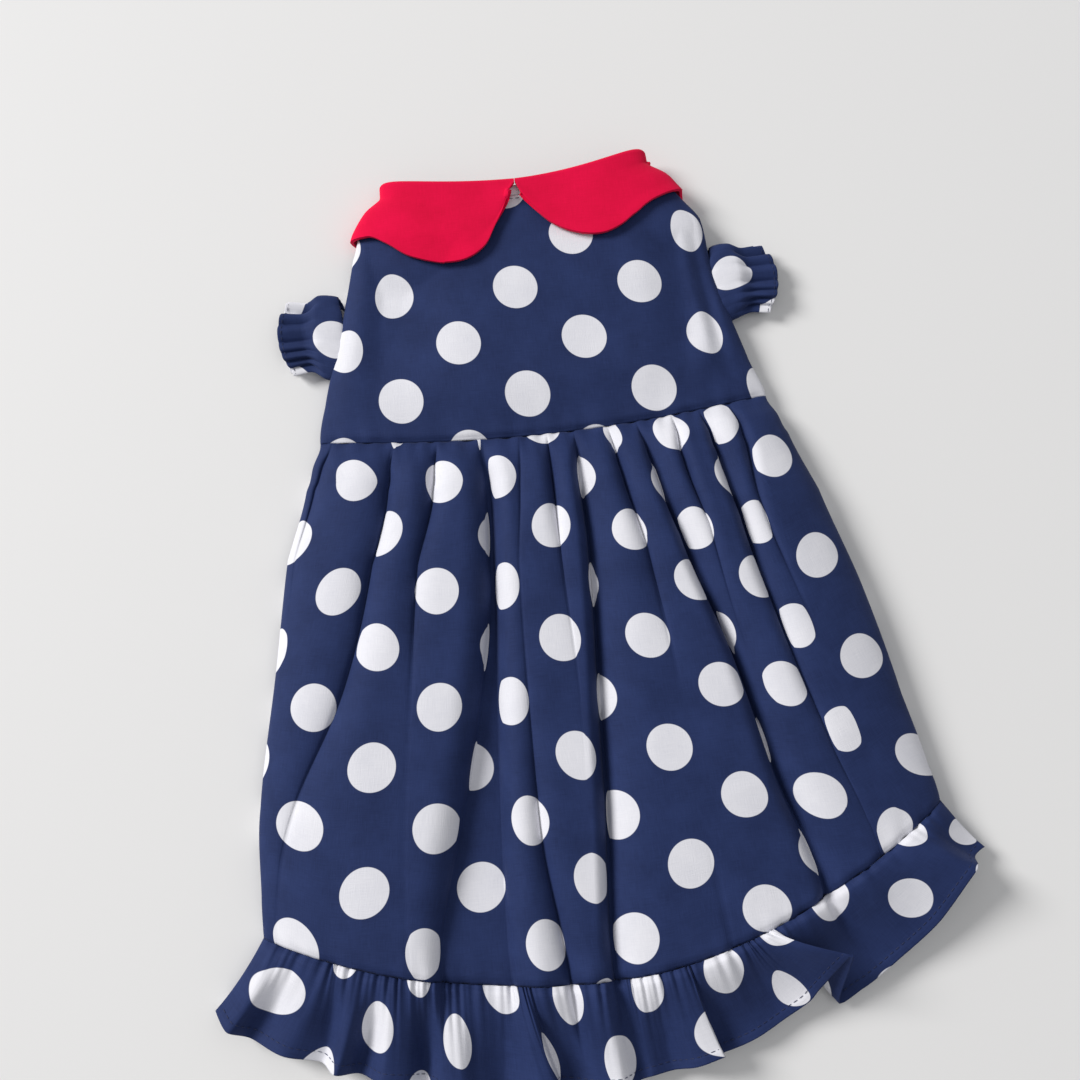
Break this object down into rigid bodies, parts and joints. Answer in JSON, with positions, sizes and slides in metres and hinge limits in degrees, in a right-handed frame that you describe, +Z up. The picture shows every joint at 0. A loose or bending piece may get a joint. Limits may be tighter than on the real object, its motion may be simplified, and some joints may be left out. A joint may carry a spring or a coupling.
{
  "type": "cat dress",
  "caption": "Gathered cotton dress for a cat with a two-part Peter Pan collar, short puff sleeves and a hem ruffle, lying flat",
  "frame": {"origin": "on the flat underside of the skirt, at the middle of the dress's length", "axes": "+Z up from the surface the dress lies on, +Y towards the collar, +X to the right seen from above with the collar away from the viewer"},
  "size_m": [0.3214, 0.4072, 0.0245],
  "materials": {
    "dotted_cotton": "matte printed cotton",
    "red_felt": "matte"
  },
  "bodies": {
    "root": {"bodice": "dotted_cotton", "skirt": "dotted_cotton", "hem_ruffle": "dotted_cotton", "sleeve_left": "dotted_cotton", "sleeve_right": "dotted_cotton", "neck_binding": "dotted_cotton", "collar_left": "red_felt", "collar_right": "red_felt"}
  },
  "joints": []
}
